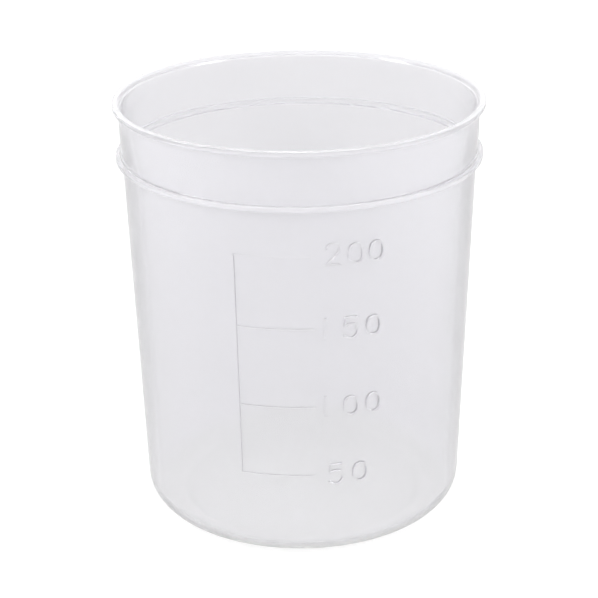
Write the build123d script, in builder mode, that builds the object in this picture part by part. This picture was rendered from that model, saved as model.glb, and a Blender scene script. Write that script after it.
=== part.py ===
from build123d import *
import math
import os

# A graduated specimen cup, injection moulded in one piece. Millimetres and degrees.
# The cup stands on Z = 0 with its axis on Z, and its graduations face -Y.

# Overall
overall_height = 83.7
lip_diameter = 72.0
wall_thickness = 0.8
floor_thickness = 1.0

# Body: a drafted cone from the floor up to the collar
body_draft = 2.14
corner_radius = 5.6

# Underside: a shallow recess leaves a ring to stand on
foot_ring_width = 2.4
recess_depth = 0.35

# Collar: a thin flange round the cup, where the wall steps out into the band
collar_drop = 10.4
collar_thickness = 1.1
collar_overhang = 1.05
collar_edge_radius = 0.4
collar_root_radius = 0.55
shoulder_height = 1.5

# Band: the drafted wall between the collar and the lip
band_step = 0.28
band_draft = 1.3

# Lip: the wall flares out into a thin flange with a rounded edge
lip_overhang = 1.14
lip_thickness = 1.13
lip_land = 1.0
lip_edge_radius = 0.5
lip_root_radius = 0.4
flare_height = 1.6

# Graduations: a raised upright, with one raised rung for each volume
rung_heights = [18.3, 32.8, 48.9, 63.2]
ladder_azimuth = -111.2
rung_sweep = 25.4
bead_width = 0.45
bead_crest_width = 0.2
bead_height = 0.25
bead_root_depth = 0.3

# A rounding takes at most this share of the thickness or overhang that it is on
rounding_share = 0.46

# Radii and heights that follow from the sizes above
lip_radius = lip_diameter / 2
lip_underside = overall_height - lip_thickness
collar_top = overall_height - collar_drop
collar_underside = collar_top - collar_thickness
band_top_radius = lip_radius - lip_overhang
band_foot_radius = band_top_radius - (lip_underside - collar_top) * math.tan(math.radians(band_draft))
collar_radius = band_foot_radius + collar_overhang
body_top_radius = band_foot_radius - band_step


def body_radius(height):
    """Outside radius of the drafted body at a height."""
    return body_top_radius - (collar_underside - height) * math.tan(math.radians(body_draft))


def band_radius(height):
    """Outside radius of the drafted band at a height."""
    return band_foot_radius + (height - collar_top) * math.tan(math.radians(band_draft))


recess_radius = body_radius(0) - corner_radius - foot_ring_width
shoulder_foot = collar_top - shoulder_height
flare_foot = overall_height - flare_height
flare_start = (band_radius(flare_foot) - wall_thickness, flare_foot)
mouth_edge = (lip_radius - lip_land, overall_height)
band_direction = (math.sin(math.radians(band_draft)), math.cos(math.radians(band_draft)))

# Corners of the wall's section, as (radius, height), and the rounding that each one gets
body_corner = (body_radius(0), 0)
floor_corner = (body_radius(floor_thickness) - wall_thickness, floor_thickness)
collar_lower_edge = (collar_radius, collar_underside)
collar_upper_edge = (collar_radius, collar_top)
collar_root = (band_foot_radius, collar_top)
lip_root = (band_top_radius, lip_underside)
lip_lower_edge = (lip_radius, lip_underside)
lip_upper_edge = (lip_radius, overall_height)
collar_edge_rounding = min(collar_edge_radius, collar_thickness * rounding_share)
lip_edge_rounding = min(lip_edge_radius, lip_thickness * rounding_share)
roundings = {
    body_corner: corner_radius,
    floor_corner: corner_radius - wall_thickness,
    collar_lower_edge: collar_edge_rounding,
    collar_upper_edge: collar_edge_rounding,
    collar_root: min(collar_root_radius, collar_overhang - collar_edge_rounding),
    lip_root: min(lip_root_radius, lip_overhang - lip_edge_rounding),
    lip_lower_edge: lip_edge_rounding,
    lip_upper_edge: lip_edge_rounding,
}


def radial_plane(azimuth):
    """Plane through the cup's axis, with its X outwards at an azimuth and its Y up."""
    angle = math.radians(azimuth)
    outwards = (math.cos(angle), math.sin(angle), 0)
    across = (math.sin(angle), -math.cos(angle), 0)
    return Plane(origin=(0, 0, 0), x_dir=outwards, z_dir=across)


with BuildPart() as specimen_cup:
    # The wall's section: up the outside from the floor to the lip, and back down the inside
    with BuildSketch(Plane.XZ) as section:
        with BuildLine() as outline:
            Polyline(
                (0, floor_thickness),
                (0, recess_depth),
                (recess_radius, recess_depth),
                (recess_radius + recess_depth, 0),
                body_corner,
                (body_top_radius, collar_underside),
                collar_lower_edge,
                collar_upper_edge,
                collar_root,
                lip_root,
                lip_lower_edge,
                lip_upper_edge,
                mouth_edge,
            )
            TangentArc(flare_start, mouth_edge, tangent=band_direction)
            Polyline(
                flare_start,
                (band_foot_radius - wall_thickness, collar_top),
                (body_radius(shoulder_foot) - wall_thickness, shoulder_foot),
                floor_corner,
                (0, floor_thickness),
            )
        make_face()
        for corner, radius in roundings.items():
            fillet(section.vertices().sort_by_distance(corner)[0], radius)
    revolve(axis=Axis.Z)

    # The rungs: a drafted bead for each volume, run round the body's cone
    for height in rung_heights:
        with BuildSketch(radial_plane(ladder_azimuth)) as rung_section:
            with BuildLine() as rung_outline:
                low = height - bead_width / 2
                high = height + bead_width / 2
                crest_radius = body_radius(height) + bead_height
                Polyline(
                    (body_radius(low) - bead_root_depth, low),
                    (body_radius(low), low),
                    (crest_radius, height - bead_crest_width / 2),
                    (crest_radius, height + bead_crest_width / 2),
                    (body_radius(high), high),
                    (body_radius(high) - bead_root_depth, high),
                    close=True,
                )
            make_face()
        revolve(axis=Axis.Z, revolution_arc=rung_sweep)

    # The upright: a bead up the cone, from the lowest rung to the highest
    foot = rung_heights[0] - bead_width / 2
    head = rung_heights[-1] + bead_width / 2
    with BuildSketch(radial_plane(ladder_azimuth)) as upright_section:
        with BuildLine() as upright_outline:
            Polyline(
                (body_radius(foot) - bead_root_depth, foot),
                (body_radius(foot) + bead_height, foot),
                (body_radius(head) + bead_height, head),
                (body_radius(head) - bead_root_depth, head),
                close=True,
            )
        make_face()
    revolve(axis=Axis.Z, revolution_arc=math.degrees(bead_width / body_top_radius))

specimen_cup.part.label = "specimen_cup"

os.makedirs("parts", exist_ok=True)
export_step(specimen_cup.part, "parts/specimen_cup.step")
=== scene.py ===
import logging
import math
from dataclasses import dataclass, field
from enum import Enum

import bmesh
import bpy
from mathutils import Matrix, Vector


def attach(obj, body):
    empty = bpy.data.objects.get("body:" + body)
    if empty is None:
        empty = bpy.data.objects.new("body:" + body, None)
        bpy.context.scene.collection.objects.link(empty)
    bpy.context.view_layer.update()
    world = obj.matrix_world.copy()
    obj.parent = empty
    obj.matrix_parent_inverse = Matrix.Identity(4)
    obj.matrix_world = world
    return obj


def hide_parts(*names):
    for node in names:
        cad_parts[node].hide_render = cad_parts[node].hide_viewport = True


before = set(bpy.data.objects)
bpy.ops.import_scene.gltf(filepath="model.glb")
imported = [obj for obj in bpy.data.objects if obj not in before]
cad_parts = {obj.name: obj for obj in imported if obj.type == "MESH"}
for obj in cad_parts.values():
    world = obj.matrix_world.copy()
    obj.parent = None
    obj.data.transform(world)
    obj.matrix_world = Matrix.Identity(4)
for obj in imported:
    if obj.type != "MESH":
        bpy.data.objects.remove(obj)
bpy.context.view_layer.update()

LOG = logging.getLogger("specimen_cup")
MM = 0.001
WHITE = (1, 1, 1, 1)
MIX_COLOR_A, MIX_COLOR_B, MIX_COLOR_RESULT = 6, 7, 2    # colour sockets of a Mix node
Point = tuple[float, float]


class Section(Enum):
    """How thick the plastic is at a place. The value is the index of its finish."""

    THIN = 0
    THICK = 1


@dataclass
class Corner:
    """One corner of the wall's section.

    Attributes:
        radius: distance from the cup's axis, in mm.
        height: height above the table, in mm.
        rounding: radius of the fillet on the corner, in mm.
    """

    radius: float
    height: float
    rounding: float = 0.0


@dataclass
class CupWall:
    """The turned wall of the cup: body, collar, band and lip, in mm and degrees."""

    overall_height: float = 83.7
    lip_diameter: float = 72.0
    wall_thickness: float = 0.8
    floor_thickness: float = 1.0
    body_draft: float = 2.14
    corner_radius: float = 5.6
    foot_ring_width: float = 2.4
    recess_depth: float = 0.35
    collar_drop: float = 10.4
    collar_thickness: float = 1.1
    collar_overhang: float = 1.05
    collar_crest_radius: float = 0.2
    collar_edge_radius: float = 0.5
    collar_root_radius: float = 0.3
    shoulder_height: float = 1.5
    band_step: float = 0.28
    band_draft: float = 1.3
    lip_overhang: float = 1.14
    lip_thickness: float = 1.13
    lip_land: float = 1.0
    lip_crest_radius: float = 0.2
    lip_edge_radius: float = 0.5
    lip_root_radius: float = 0.3
    flare_height: float = 1.6
    thick_margin: float = 0.05
    turn_steps: int = 384
    fillet_step: float = 9.0
    weld: float = 0.002

    @property
    def collar_top(self) -> float:
        """Height of the collar's upper face."""
        return self.overall_height - self.collar_drop

    @property
    def collar_underside(self) -> float:
        """Height of the collar's lower face."""
        return self.collar_top - self.collar_thickness

    @property
    def lip_underside(self) -> float:
        """Height of the lip's lower face."""
        return self.overall_height - self.lip_thickness

    @property
    def band_foot_radius(self) -> float:
        """Outside radius of the band where it meets the collar."""
        rise = self.lip_underside - self.collar_top
        return self.lip_diameter / 2 - self.lip_overhang - rise * math.tan(math.radians(self.band_draft))

    def band_radius(self, height: float) -> float:
        """Outside radius of the band at a height."""
        return self.band_foot_radius + (height - self.collar_top) * math.tan(math.radians(self.band_draft))

    def body_radius(self, height: float) -> float:
        """Outside radius of the drafted body at a height."""
        top = self.band_foot_radius - self.band_step
        return top - (self.collar_underside - height) * math.tan(math.radians(self.body_draft))

    def section(self, radius: float, height: float) -> Section:
        """Tells the thick collar and lip from the thin wall.

        Args:
            radius: distance of a place on the surface from the cup's axis, in mm.
            height: its height above the table, in mm.

        Returns:
            How thick the plastic is there.
        """
        stands_out = radius >= self.band_radius(height) + self.thick_margin
        on_collar = self.collar_underside - self.thick_margin < height < self.collar_top
        on_lip = height > self.lip_underside - self.thick_margin
        return Section.THICK if stands_out and (on_collar or on_lip) else Section.THIN

    def flare(self) -> tuple[Corner, Corner]:
        """The inside of the lip, where it flares out in one arc.

        Returns:
            The corner that the arc rounds, and the mouth's edge where it ends.
        """
        lean = math.radians(self.band_draft)
        start = Vector((self.band_radius(self.overall_height - self.flare_height) - self.wall_thickness,
                        self.overall_height - self.flare_height))
        end = Vector((self.lip_diameter / 2 - self.lip_land, self.overall_height))
        chord = end - start
        half_turn = math.atan2(chord.x, chord.y) - lean
        arc_radius = chord.length / (2 * math.sin(half_turn))
        reach = arc_radius * math.tan(half_turn)
        corner = start + Vector((math.sin(lean), math.cos(lean))) * reach
        return Corner(corner.x, corner.y, arc_radius), Corner(end.x, end.y)

    def corners(self) -> list[Corner]:
        """The section's corners, up the outside and back down the inside."""
        recess_radius = self.body_radius(0) - self.corner_radius - self.foot_ring_width
        lip_radius = self.lip_diameter / 2
        collar_radius = self.band_foot_radius + self.collar_overhang
        shoulder_foot = self.collar_top - self.shoulder_height
        flare_corner, mouth_edge = self.flare()
        return [
            Corner(0, self.recess_depth),
            Corner(recess_radius, self.recess_depth),
            Corner(recess_radius + self.recess_depth, 0),
            Corner(self.body_radius(0), 0, self.corner_radius),
            Corner(self.body_radius(self.collar_underside), self.collar_underside),
            Corner(collar_radius, self.collar_underside, self.collar_edge_radius),
            Corner(collar_radius, self.collar_top, self.collar_crest_radius),
            Corner(self.band_foot_radius, self.collar_top, self.collar_root_radius),
            Corner(self.band_radius(self.lip_underside), self.lip_underside, self.lip_root_radius),
            Corner(lip_radius, self.lip_underside, self.lip_edge_radius),
            Corner(lip_radius, self.overall_height, self.lip_crest_radius),
            mouth_edge,
            flare_corner,
            Corner(self.band_foot_radius - self.wall_thickness, self.collar_top),
            Corner(self.body_radius(shoulder_foot) - self.wall_thickness, shoulder_foot),
            Corner(self.body_radius(self.floor_thickness) - self.wall_thickness, self.floor_thickness,
                   self.corner_radius - self.wall_thickness),
            Corner(0, self.floor_thickness),
        ]

    def round_corner(self, bm: bmesh.types.BMesh, vert: bmesh.types.BMVert, rounding: float) -> None:
        """Rounds one corner of the section's outline.

        Args:
            bm: the mesh that holds the outline.
            vert: the corner.
            rounding: the fillet's radius, in metres.
        """
        before, after = (edge.other_vert(vert).co - vert.co for edge in vert.link_edges)
        turn = math.pi - before.angle(after)
        bmesh.ops.bevel(bm, geom=[vert], affect="VERTICES", offset_type="OFFSET", profile=0.5, material=-1,
                        offset=rounding * math.tan(turn / 2),
                        segments=max(2, round(math.degrees(turn) / self.fillet_step)))

    def build(self) -> bmesh.types.BMesh:
        """Draws the section, rounds its corners and spins it round the axis."""
        bm = bmesh.new()
        corners = self.corners()
        verts = [bm.verts.new((c.radius * MM, 0, c.height * MM)) for c in corners]
        for lower, upper in zip(verts, verts[1:]):
            bm.edges.new((lower, upper))
        for corner, vert in zip(corners, verts):
            if corner.rounding:
                self.round_corner(bm, vert, corner.rounding * MM)
        bmesh.ops.remove_doubles(bm, verts=bm.verts, dist=self.weld * MM)
        bmesh.ops.spin(bm, geom=bm.verts[:] + bm.edges[:], cent=(0, 0, 0), axis=(0, 0, 1),
                       angle=math.tau, steps=self.turn_steps, use_merge=True)
        bmesh.ops.remove_doubles(bm, verts=bm.verts, dist=self.weld * MM)
        bmesh.ops.recalc_face_normals(bm, faces=bm.faces)
        return bm


@dataclass
class Stroke:
    """One stroke of a graduation mark, drawn flat on the wall.

    Attributes:
        points: places along the stroke, right of and above the mark's centre, in mm.
        closed: whether the stroke runs back to its start.
        straight: whether it keeps its corners.
    """

    points: list[Point]
    closed: bool = False
    straight: bool = False


NUMERALS: dict[str, list[Stroke]] = {
    "0": [Stroke([(0, 2.05), (-1.3, 1.35), (-1.3, -1.35), (0, -2.05), (1.3, -1.35), (1.3, 1.35)],
                 closed=True)],
    "1": [Stroke([(0.1, -2.05), (0.1, 2.05)], straight=True)],
    "2": [Stroke([(-1.25, 1.1), (-1.15, 1.75), (0, 2.25), (1.25, 1.7), (1.2, 0.65), (0.1, -0.6),
                  (-1.3, -2.05)]),
          Stroke([(-1.3, -2.05), (1.3, -2.05)], straight=True)],
    "5": [Stroke([(1.2, 2.05), (-1.0, 2.05), (-1.1, 0.2)], straight=True),
          Stroke([(-1.1, 0.2), (-0.5, 0.75), (0.9, 0.65), (1.5, -0.7), (0.9, -1.95), (-0.3, -2.25),
                  (-1.25, -1.55)])],
}


@dataclass
class Numeral:
    """A numeral on the wall: its figure, and the azimuth and height of its centre."""

    figure: str
    azimuth: float
    height: float


@dataclass
class Graduations:
    """The volume scale on the body: an upright, its rungs and the numerals, in mm and degrees."""

    wall: CupWall
    rung_heights: tuple[float, ...] = (18.3, 32.8, 48.9, 63.2)
    ladder_azimuth: float = -111.2
    rung_sweep: float = 25.4
    upright_relief: float = 0.35
    rung_reliefs: tuple[float, ...] = (0.35, 0.35, 0.35, 0.2)
    bead_width: float = 0.45
    numeral_width: float = 0.45
    numeral_relief: float = 0.55
    bead_rounding: int = 3
    bead_smoothing: int = 6
    curve_order: int = 3
    upright_steps: int = 24
    rung_steps: int = 48
    weld: float = 0.001
    numerals: tuple[Numeral, ...] = (
        Numeral("2", -80.09, 63.67), Numeral("0", -73.01, 63.58), Numeral("0", -66.31, 63.59),
        Numeral("1", -82.71, 49.1), Numeral("5", -74.42, 48.91), Numeral("0", -66.88, 48.78),
        Numeral("1", -82.74, 33.0), Numeral("0", -74.13, 32.80), Numeral("0", -66.38, 32.81),
        Numeral("5", -79.05, 18.54), Numeral("0", -70.59, 18.46),
    )

    def wrap(self, bm: bmesh.types.BMesh, azimuth: float, height: float) -> None:
        """Lays flat marks on the wall, with their X round it, their Y up it and their Z outwards.

        Args:
            bm: the marks, in metres.
            azimuth: where their X is 0, in degrees.
            height: where their Y is 0, in mm.
        """
        for vert in bm.verts:
            up = height + vert.co.y / MM
            surface = self.wall.body_radius(up)
            angle = math.radians(azimuth) + vert.co.x / (surface * MM)
            out = surface * MM + vert.co.z
            vert.co = (out * math.cos(angle), out * math.sin(angle), up * MM)

    def bead(self, strokes: list[Stroke], width: float, proud: float) -> bmesh.types.BMesh:
        """Runs a half-round bead along strokes, flat, with its lower half to sink in the wall.

        Args:
            strokes: the strokes to follow.
            width: the bead's width, in mm.
            proud: how far it stands out, in mm.

        Returns:
            The beads as one mesh, in metres.
        """
        curve = bpy.data.curves.new("bead", "CURVE")
        curve.dimensions = "3D"
        curve.bevel_depth = width / 2 * MM
        curve.bevel_resolution = self.bead_rounding
        curve.resolution_u = self.bead_smoothing
        curve.use_fill_caps = True
        for stroke in strokes:
            spline = curve.splines.new("POLY" if stroke.straight else "NURBS")
            spline.points.add(len(stroke.points) - 1)
            for point, (x, y) in zip(spline.points, stroke.points):
                point.co = (x * MM, y * MM, 0, 1)
            spline.use_cyclic_u = stroke.closed
            if not stroke.straight:
                spline.order_u = self.curve_order
                spline.use_endpoint_u = not stroke.closed
        holder = bpy.data.objects.new("bead", curve)
        mesh = bpy.data.meshes.new_from_object(holder)
        bm = bmesh.new()
        bm.from_mesh(mesh)
        bpy.data.objects.remove(holder)
        bpy.data.curves.remove(curve)
        bpy.data.meshes.remove(mesh)
        bmesh.ops.scale(bm, vec=(1, 1, proud / (width / 2)), verts=bm.verts)
        bmesh.ops.remove_doubles(bm, verts=bm.verts, dist=self.weld * MM)
        bmesh.ops.recalc_face_normals(bm, faces=bm.faces)
        return bm

    def build(self) -> list[bpy.types.Object]:
        """Builds every mark as a closed bead that stands half in the wall."""
        marks = []
        low, high = self.rung_heights[0], self.rung_heights[-1]
        rise = (high - low) / self.upright_steps
        upright = Stroke([(0, rise * k) for k in range(self.upright_steps + 1)], straight=True)
        bm = self.bead([upright], self.bead_width, self.upright_relief)
        self.wrap(bm, self.ladder_azimuth, low)
        marks.append(make_object("upright", bm))
        for height, relief in zip(self.rung_heights, self.rung_reliefs):
            run = math.radians(self.rung_sweep) * self.wall.body_radius(height) / self.rung_steps
            rung = Stroke([(run * k, 0) for k in range(self.rung_steps + 1)], straight=True)
            bm = self.bead([rung], self.bead_width, relief)
            self.wrap(bm, self.ladder_azimuth, height)
            marks.append(make_object("rung", bm))
        for numeral in self.numerals:
            for stroke in NUMERALS[numeral.figure]:
                bm = self.bead([stroke], self.numeral_width, self.numeral_relief)
                self.wrap(bm, numeral.azimuth, numeral.height)
                marks.append(make_object("numeral", bm))
        return marks


def make_object(name: str, bm: bmesh.types.BMesh) -> bpy.types.Object:
    """Makes a mesh object at the origin from a bmesh, and frees the bmesh."""
    mesh = bpy.data.meshes.new(name)
    bm.to_mesh(mesh)
    bm.free()
    obj = bpy.data.objects.new(name, mesh)
    bpy.context.scene.collection.objects.link(obj)
    return obj


@dataclass(frozen=True)
class RayLevels:
    """A level that depends on what looks: the camera, gloss and glass, or a matt surface."""

    camera: float
    glass: float
    matt: float

    def wire(self, tree: bpy.types.NodeTree, target: bpy.types.NodeSocket) -> None:
        """Drives a socket with the level for each kind of ray.

        Args:
            tree: the node tree that holds the socket.
            target: the socket to drive, a number or a grey colour.
        """
        path = tree.nodes.new("ShaderNodeLightPath")
        clear = tree.nodes.new("ShaderNodeMath")
        clear.operation = "MAXIMUM"
        tree.links.new(path.outputs["Is Transmission Ray"], clear.inputs[0])
        tree.links.new(path.outputs["Is Glossy Ray"], clear.inputs[1])
        indirect = tree.nodes.new("ShaderNodeMix")
        indirect.inputs["A"].default_value = self.matt
        indirect.inputs["B"].default_value = self.glass
        tree.links.new(clear.outputs["Value"], indirect.inputs["Factor"])
        level = tree.nodes.new("ShaderNodeMix")
        level.inputs["B"].default_value = self.camera
        tree.links.new(path.outputs["Is Camera Ray"], level.inputs["Factor"])
        tree.links.new(indirect.outputs["Result"], level.inputs["A"])
        tree.links.new(level.outputs["Result"], target)


@dataclass(frozen=True)
class Moulding:
    """The look of a moulded wall: milky clouds, and fine rings from the turned mould.

    Attributes:
        cloud_scale: how many clouds there are to a metre.
        cloud_detail: how finely the clouds break up.
        ring_stretch: how many cells the rings have to a metre, across and up the wall.
        ring_detail: how finely the rings break up.
        ring_share: share of the rings in the wall's relief, from 0 to 1.
    """

    cloud_scale: float = 70.0
    cloud_detail: float = 3.0
    ring_stretch: tuple[float, float, float] = (40.0, 40.0, 1400.0)
    ring_detail: float = 2.0
    ring_share: float = 0.35

    def group(self) -> bpy.types.NodeTree:
        """Builds the node group that the finishes share.

        Returns:
            A group that takes object coordinates, and gives the clouds, the rings and their relief.
        """
        group = bpy.data.node_groups.new("moulding", "ShaderNodeTree")
        group.interface.new_socket("Vector", in_out="INPUT", socket_type="NodeSocketVector")
        for output in ("Clouds", "Rings", "Height"):
            group.interface.new_socket(output, in_out="OUTPUT", socket_type="NodeSocketFloat")
        start = group.nodes.new("NodeGroupInput")
        end = group.nodes.new("NodeGroupOutput")
        clouds = group.nodes.new("ShaderNodeTexNoise")
        clouds.inputs["Scale"].default_value = self.cloud_scale
        clouds.inputs["Detail"].default_value = self.cloud_detail
        group.links.new(start.outputs["Vector"], clouds.inputs["Vector"])
        stretch = group.nodes.new("ShaderNodeMapping")
        stretch.vector_type = "POINT"
        stretch.inputs["Scale"].default_value = self.ring_stretch
        group.links.new(start.outputs["Vector"], stretch.inputs["Vector"])
        rings = group.nodes.new("ShaderNodeTexNoise")
        rings.inputs["Scale"].default_value = 1
        rings.inputs["Detail"].default_value = self.ring_detail
        group.links.new(stretch.outputs["Vector"], rings.inputs["Vector"])
        height = group.nodes.new("ShaderNodeMix")
        height.inputs["Factor"].default_value = self.ring_share
        group.links.new(clouds.outputs["Fac"], height.inputs["A"])
        group.links.new(rings.outputs["Fac"], height.inputs["B"])
        group.links.new(clouds.outputs["Fac"], end.inputs["Clouds"])
        group.links.new(rings.outputs["Fac"], end.inputs["Rings"])
        group.links.new(height.outputs["Result"], end.inputs["Height"])
        return group


@dataclass(frozen=True)
class Polypropylene:
    """Natural polypropylene: clear enough to see through, milky, with a faint lavender cast.

    Attributes:
        name: the material's name.
        wall_color: tint of the walls.
        shaded_base_color: painted shade, a darker neutral tint on the floor of the cup, where it stands in
            its own shade.
        cloud_depth: how much the milky clouds darken the tint, from 0 to 1.
        satin: roughness between the rings and on them.
        transmission: share of light that passes.
        ior: bending of light, low because the milky wall blurs it.
        gloss: weight and roughness of the smooth skin that the mould leaves.
        ripple: depth of the moulding's ripple, in metres.
        shaded_base_top: heights where the painted shade of the base ends and the wall's tint begins, in
            metres.
    """

    name: str = "natural_polypropylene"
    wall_color: tuple[float, float, float] = (0.980, 0.974, 0.9985)
    # painted shade: the cup's floor is tinted darker and neutral where it stands in its own shade
    shaded_base_color: tuple[float, float, float] = (0.928, 0.931, 0.920)
    cloud_depth: float = 0.006
    satin: tuple[float, float] = (0.13, 0.16)
    transmission: float = 0.78
    ior: float = 1.36
    gloss: tuple[float, float] = (0.5, 0.08)
    ripple: float = 0.00001
    shaded_base_top: tuple[float, float] = (0.0012, 0.0030)

    def material(self, pattern: bpy.types.NodeTree) -> bpy.types.Material:
        """Builds the material.

        Args:
            pattern: the node group of the moulded wall's look.

        Returns:
            The finished material.
        """
        mat = bpy.data.materials.new(self.name)
        mat.use_nodes = True
        nodes, links = mat.node_tree.nodes, mat.node_tree.links
        shader = nodes["Principled BSDF"]
        shader.inputs["IOR"].default_value = self.ior
        shader.inputs["Transmission Weight"].default_value = self.transmission
        coat_weight, coat_roughness = self.gloss
        shader.inputs["Coat Weight"].default_value = coat_weight
        shader.inputs["Coat Roughness"].default_value = coat_roughness
        coords = nodes.new("ShaderNodeTexCoord")
        moulding = nodes.new("ShaderNodeGroup")
        moulding.node_tree = pattern
        links.new(coords.outputs["Object"], moulding.inputs["Vector"])
        self.tint(mat.node_tree, coords, moulding)
        satin = nodes.new("ShaderNodeMapRange")
        satin.inputs["To Min"].default_value, satin.inputs["To Max"].default_value = self.satin
        links.new(moulding.outputs["Rings"], satin.inputs["Value"])
        links.new(satin.outputs["Result"], shader.inputs["Roughness"])
        bump = nodes.new("ShaderNodeBump")
        bump.inputs["Distance"].default_value = self.ripple
        links.new(moulding.outputs["Height"], bump.inputs["Height"])
        links.new(bump.outputs["Normal"], shader.inputs["Normal"])
        return mat

    def tint(self, tree: bpy.types.NodeTree, coords: bpy.types.Node, moulding: bpy.types.Node) -> None:
        """Colours the plastic: lavender walls, a darker neutral base that is painted shade, and faint clouds
        in both.

        Args:
            tree: the material's nodes.
            coords: the node that gives object coordinates.
            moulding: the node that gives the clouds.
        """
        place = tree.nodes.new("ShaderNodeSeparateXYZ")
        tree.links.new(coords.outputs["Object"], place.inputs["Vector"])
        rise = tree.nodes.new("ShaderNodeMapRange")
        rise.inputs["From Min"].default_value, rise.inputs["From Max"].default_value = self.shaded_base_top
        tree.links.new(place.outputs["Z"], rise.inputs["Value"])
        # mixes in the painted shade: the darker neutral base fades into the wall's tint between the heights
        # of shaded_base_top
        shaded_tint = tree.nodes.new("ShaderNodeMix")
        shaded_tint.data_type = "RGBA"
        shaded_tint.inputs[MIX_COLOR_A].default_value = (*self.shaded_base_color, 1)
        shaded_tint.inputs[MIX_COLOR_B].default_value = (*self.wall_color, 1)
        tree.links.new(rise.outputs["Result"], shaded_tint.inputs["Factor"])
        milk = tree.nodes.new("ShaderNodeMapRange")
        milk.inputs["To Min"].default_value = 1
        milk.inputs["To Max"].default_value = 1 - self.cloud_depth
        tree.links.new(moulding.outputs["Clouds"], milk.inputs["Value"])
        tinted = tree.nodes.new("ShaderNodeVectorMath")
        tinted.operation = "SCALE"
        tree.links.new(shaded_tint.outputs[MIX_COLOR_RESULT], tinted.inputs[0])
        tree.links.new(milk.outputs["Result"], tinted.inputs["Scale"])
        tree.links.new(tinted.outputs["Vector"], tree.nodes["Principled BSDF"].inputs["Base Color"])


@dataclass
class SpecimenCup:
    """The whole cup, one moulded piece."""

    wall: CupWall = field(default_factory=CupWall)
    moulding: Moulding = Moulding()
    thin: Polypropylene = Polypropylene()
    thick: Polypropylene = Polypropylene(name="thick_polypropylene", transmission=0.65, satin=(0.18, 0.22))
    crease_angle: float = 28.0

    def dress(self, cup: bpy.types.Object) -> None:
        """Gives the walls the thin plastic's finish, and the collar and lip the milkier thick one's.

        Args:
            cup: the finished mesh object.
        """
        finishes = {Section.THIN: self.thin, Section.THICK: self.thick}
        pattern = self.moulding.group()
        cup.data.materials.clear()
        for section in Section:
            cup.data.materials.append(finishes[section].material(pattern))
        for face in cup.data.polygons:
            radius, height = math.hypot(face.center.x, face.center.y) / MM, face.center.z / MM
            face.material_index = self.wall.section(radius, height).value

    def build(self) -> bpy.types.Object:
        """Turns the wall and joins the graduations to it.

        Returns:
            The cup as one closed mesh.
        """
        cup = make_object("graduated_cup", self.wall.build())
        marks = Graduations(self.wall).build()
        for mark in marks:
            joint = cup.modifiers.new(mark.name, "BOOLEAN")
            joint.operation = "UNION"
            joint.solver = "EXACT"
            joint.object = mark
        bpy.context.view_layer.update()
        depsgraph = bpy.context.evaluated_depsgraph_get()
        joined = bpy.data.meshes.new_from_object(cup.evaluated_get(depsgraph))
        cup.modifiers.clear()
        cup.data = joined
        for mark in marks:
            bpy.data.objects.remove(mark)
        joined.shade_smooth()
        joined.set_sharp_from_angle(angle=math.radians(self.crease_angle))
        return cup


@dataclass(frozen=True)
class Lamp:
    """A square soft lamp that faces the cup: its place and width in metres, and its watts."""

    name: str
    place: tuple[float, float, float]
    width: float
    watts: float

    def hang(self, target: Vector) -> None:
        """Hangs the lamp, turned to a target.

        Args:
            target: the place that it faces, in metres.
        """
        light = bpy.data.lights.new(self.name, "AREA")
        light.shape = "SQUARE"
        light.size = self.width
        light.energy = self.watts
        obj = bpy.data.objects.new(self.name, light)
        obj.location = self.place
        obj.rotation_euler = (target - Vector(self.place)).to_track_quat("-Z", "Y").to_euler()
        obj.visible_transmission = False
        bpy.context.scene.collection.objects.link(obj)


@dataclass(frozen=True)
class Viewpoint:
    """A long lens that looks down on the cup, in mm, metres and degrees."""

    lens: float = 113.81
    sensor: float = 36.0
    place: tuple[float, float, float] = (0, -0.3523, 0.1842)
    pitch: float = 22.056
    yaw: float = -0.072
    roll: float = -0.718

    def set_up(self) -> None:
        """Makes the camera and looks through it."""
        data = bpy.data.cameras.new("camera")
        data.lens = self.lens
        data.sensor_width = self.sensor
        camera = bpy.data.objects.new("camera", data)
        bpy.context.scene.collection.objects.link(camera)
        pitch, yaw, roll = (math.radians(angle) for angle in (self.pitch, self.yaw, self.roll))
        camera.matrix_world = (Matrix.Translation(self.place) @ Matrix.Rotation(-yaw, 4, "Z")
                               @ Matrix.Rotation(math.pi / 2 - pitch, 4, "X") @ Matrix.Rotation(roll, 4, "Z"))
        bpy.context.scene.camera = camera


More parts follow.
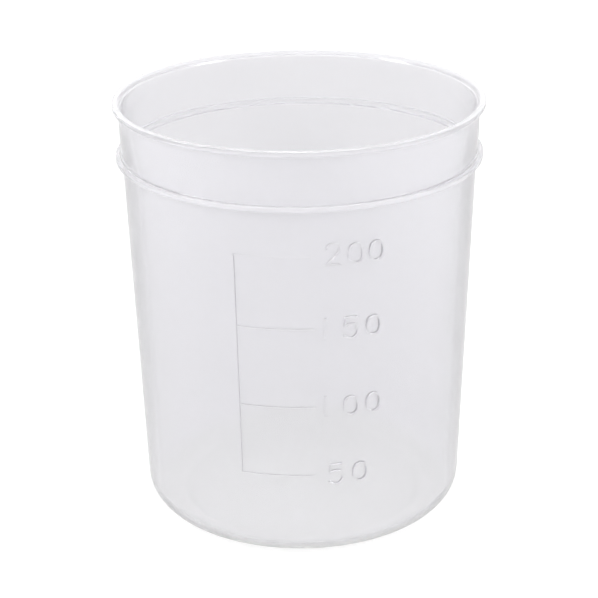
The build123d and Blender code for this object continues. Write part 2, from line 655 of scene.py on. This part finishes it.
@dataclass(frozen=True)
class Studio:
    """Pale floor, white world, three soft lamps and the camera.

    Attributes:
        sky: brightness of the world.
        floor_glow: light that the floor gives.
        floor_tone: how much light the floor sends back, which keeps the cup's shadow.
        floor_reach: half the floor's side, in metres.
        floor_roughness: roughness of the floor.
        target: what the lamps face, in metres.
        lamps: the lamps.
        viewpoint: the camera.
        bounces: how often light passes the plastic.
        matt_bounces: how often light leaves a matt surface.
    """

    sky: RayLevels = RayLevels(camera=1.0, glass=1.0, matt=1.0)
    floor_glow: RayLevels = RayLevels(camera=0.85, glass=0.86, matt=0.0)
    floor_tone: RayLevels = RayLevels(camera=0.2, glass=0.0, matt=0.65)
    floor_reach: float = 4.0
    floor_roughness: float = 0.9
    target: tuple[float, float, float] = (0, 0, 0.04)
    lamps: tuple[Lamp, ...] = (Lamp("left_lamp", (-0.55, -0.15, 0.45), 0.22, 1.5),
                               Lamp("right_lamp", (0.55, -0.25, 0.40), 0.22, 1.2),
                               Lamp("top_lamp", (0.0, 0.3, 0.75), 0.3, 3.0))
    viewpoint: Viewpoint = Viewpoint()
    bounces: int = 32
    matt_bounces: int = 12

    def world(self) -> None:
        """Lights the cup evenly from a white world."""
        world = bpy.data.worlds.new("studio")
        bpy.context.scene.world = world
        world.use_nodes = True
        world.cycles.sampling_method = "NONE"
        back = world.node_tree.nodes["Background"]
        back.inputs["Color"].default_value = WHITE
        self.sky.wire(world.node_tree, back.inputs["Strength"])

    def floor(self) -> None:
        """Lays a pale floor that keeps the cup's shadow."""
        bm = bmesh.new()
        bmesh.ops.create_grid(bm, x_segments=1, y_segments=1, size=self.floor_reach)
        floor = make_object("floor", bm)
        mat = bpy.data.materials.new("floor")
        mat.use_nodes = True
        mat.cycles.emission_sampling = "NONE"
        shader = mat.node_tree.nodes["Principled BSDF"]
        shader.inputs["Roughness"].default_value = self.floor_roughness
        shader.inputs["Specular IOR Level"].default_value = 0
        shader.inputs["Emission Color"].default_value = WHITE
        self.floor_tone.wire(mat.node_tree, shader.inputs["Base Color"])
        self.floor_glow.wire(mat.node_tree, shader.inputs["Emission Strength"])
        floor.data.materials.append(mat)

    def build(self) -> None:
        """Sets up everything round the cup."""
        scene = bpy.context.scene
        scene.view_settings.view_transform = "Standard"
        scene.cycles.max_bounces = self.bounces
        scene.cycles.transmission_bounces = self.bounces
        scene.cycles.glossy_bounces = self.bounces
        scene.cycles.diffuse_bounces = self.matt_bounces
        self.world()
        self.floor()
        for lamp in self.lamps:
            lamp.hang(Vector(self.target))
        self.viewpoint.set_up()


def main() -> None:
    """Builds the cup and the studio."""
    logging.basicConfig(level=logging.INFO, format="%(message)s")
    specimen_cup = SpecimenCup()
    cup = specimen_cup.build()
    specimen_cup.dress(cup)
    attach(cup, "root")
    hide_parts("specimen_cup")
    LOG.info("graduated_cup: %d faces", len(cup.data.polygons))
    Studio().build()


if __name__ == "__main__":
    main()
